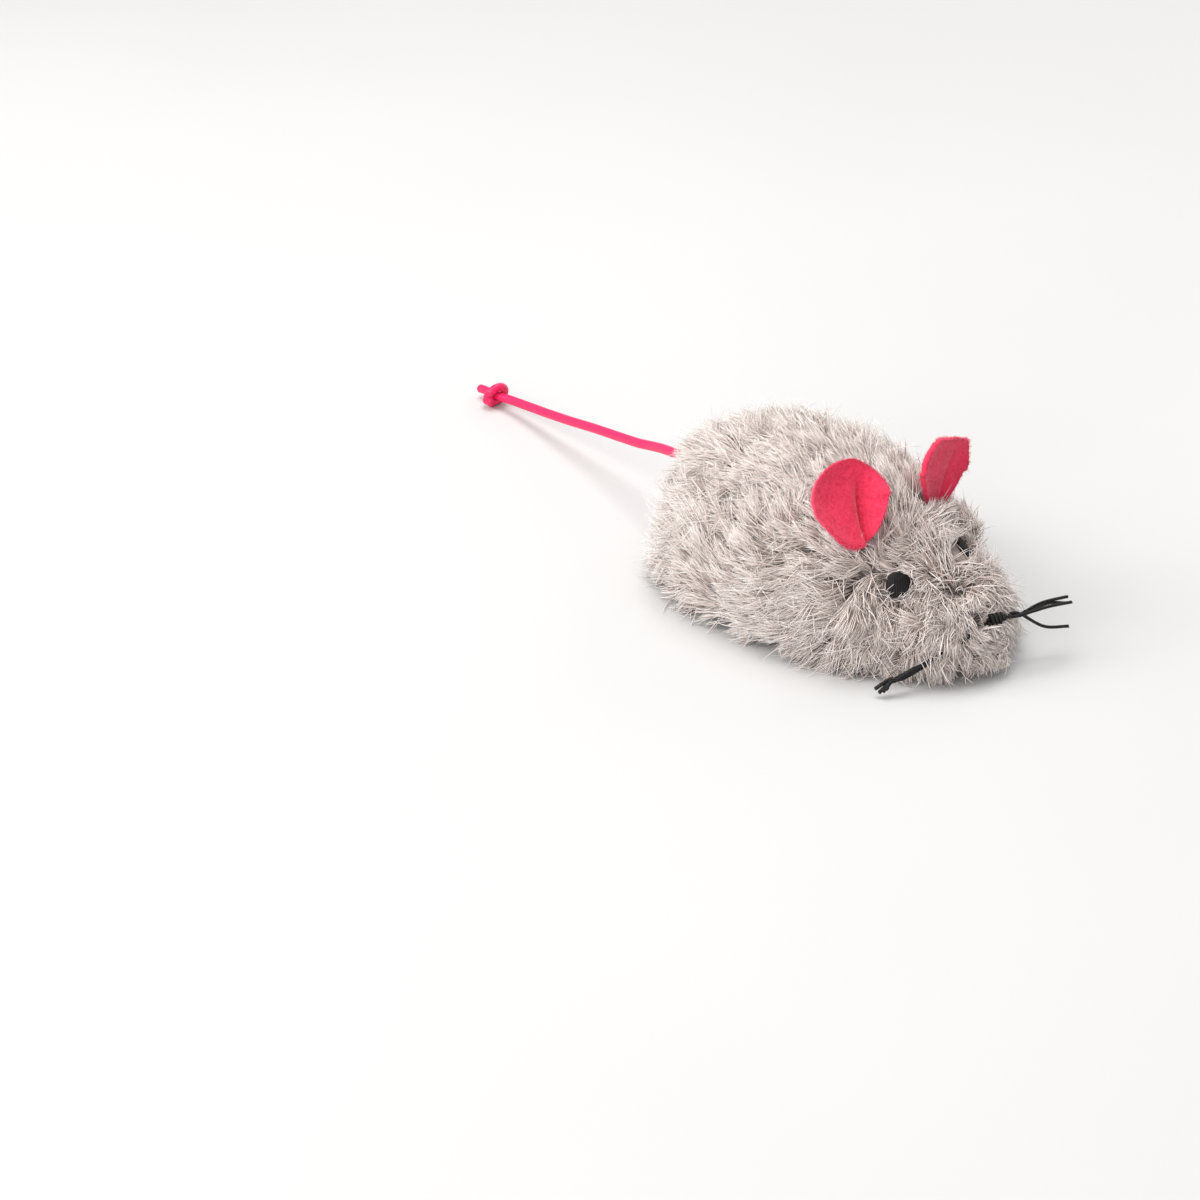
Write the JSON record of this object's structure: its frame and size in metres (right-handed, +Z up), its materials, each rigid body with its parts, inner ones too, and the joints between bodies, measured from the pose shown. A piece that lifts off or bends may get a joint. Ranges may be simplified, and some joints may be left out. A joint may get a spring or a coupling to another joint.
{
  "type": "clockwork mouse",
  "caption": "Plush clockwork mouse: fur cover over a moulded shell, felt ears, cord tail, thread whiskers, side winding key, geared rear wheels, swivel front caster.",
  "frame": {"origin": "centre of the base plate's flat underside, 3 mm above the ground", "axes": "+X to the nose, +Y to the mouse's left, +Z up"},
  "size_m": [0.1625, 0.057, 0.0369],
  "materials": {
    "fur": "shaggy short plush pile, silver grey",
    "felt": "pink craft felt, matt",
    "eye": "matt black, slightly fuzzy",
    "thread": "twisted black sewing thread, slight sheen",
    "tail": "round elastic cord, woven cover",
    "shell_plastic": "moulded",
    "base_plastic": "moulded, fine grain",
    "steel": "stamped and turned steel",
    "spring_steel": "blued spring steel",
    "brass": "stamped brass",
    "key_plastic": "moulded",
    "eyelet_metal": "nickel plated",
    "wheel_plastic": "moulded",
    "rubber": "soft tyre",
    "caster_plastic": "moulded"
  },
  "bodies": {
    "root": {"fur_cover": "fur", "ear_right": "felt", "ear_left": "felt", "eye_right": "eye", "eye_left": "eye", "whiskers_right": "thread", "whiskers_left": "thread", "tail_cord": "tail", "tail_knot": "tail", "upper_shell": "shell_plastic", "base_plate": "base_plastic", "base_screws": "steel", "key_eyelet": "eyelet_metal", "motor_plate_right": "steel", "motor_plate_left": "steel", "frame_pillars": "steel", "spring_post": "steel", "mainspring": "spring_steel"},
    "great": {"great_wheel": "brass", "click_leaf": "spring_steel", "click_rivet": "brass"},
    "winding": {"winding_arbor": "steel", "ratchet_wheel": "brass", "winding_key": "key_plastic"},
    "intermediate": {"intermediate_arbor": "steel", "intermediate_pinion": "brass", "intermediate_wheel": "brass"},
    "drive": {"drive_axle": "steel", "axle_pinion": "brass", "drive_wheel_right": "wheel_plastic", "drive_wheel_left": "wheel_plastic", "tyre_right": "rubber", "tyre_left": "rubber"},
    "caster": {"caster_fork": "caster_plastic", "caster_clip": "steel", "caster_axle": "steel"},
    "caster_roller": {"caster_wheel": "rubber"}
  },
  "joints": [
    {"name": "drive_spin", "type": "hinge", "parent": "root", "child": "drive", "pos_m": [-0.01563, 0, 0.0045], "axis": [0, 1, 0], "continuous": true},
    {"name": "intermediate_spin", "type": "hinge", "parent": "root", "child": "intermediate", "pos_m": [-0.01806, 0, 0.01212], "axis": [0, 1, 0], "continuous": true},
    {"name": "great_spin", "type": "hinge", "parent": "root", "child": "great", "pos_m": [-0.009, 0, 0.0105], "axis": [0, 1, 0], "continuous": true},
    {"name": "key_turn", "type": "hinge", "parent": "great", "child": "winding", "pos_m": [-0.009, 0, 0.0105], "axis": [0, -1, 0], "range_deg": [0, 1080], "deforming": ["mainspring", "click_leaf"]},
    {"name": "caster_swivel", "type": "hinge", "parent": "root", "child": "caster", "pos_m": [0.019, 0, 0], "axis": [0, 0, 1], "continuous": true},
    {"name": "caster_spin", "type": "hinge", "parent": "caster", "child": "caster_roller", "pos_m": [0.0155, 0, 0.0005], "axis": [0, 1, 0], "continuous": true}
  ],
  "couplings": [
    {"joint": "intermediate_spin", "follows": "drive_spin", "ratio": -0.33333},
    {"joint": "great_spin", "follows": "drive_spin", "ratio": 0.092593}
  ]
}
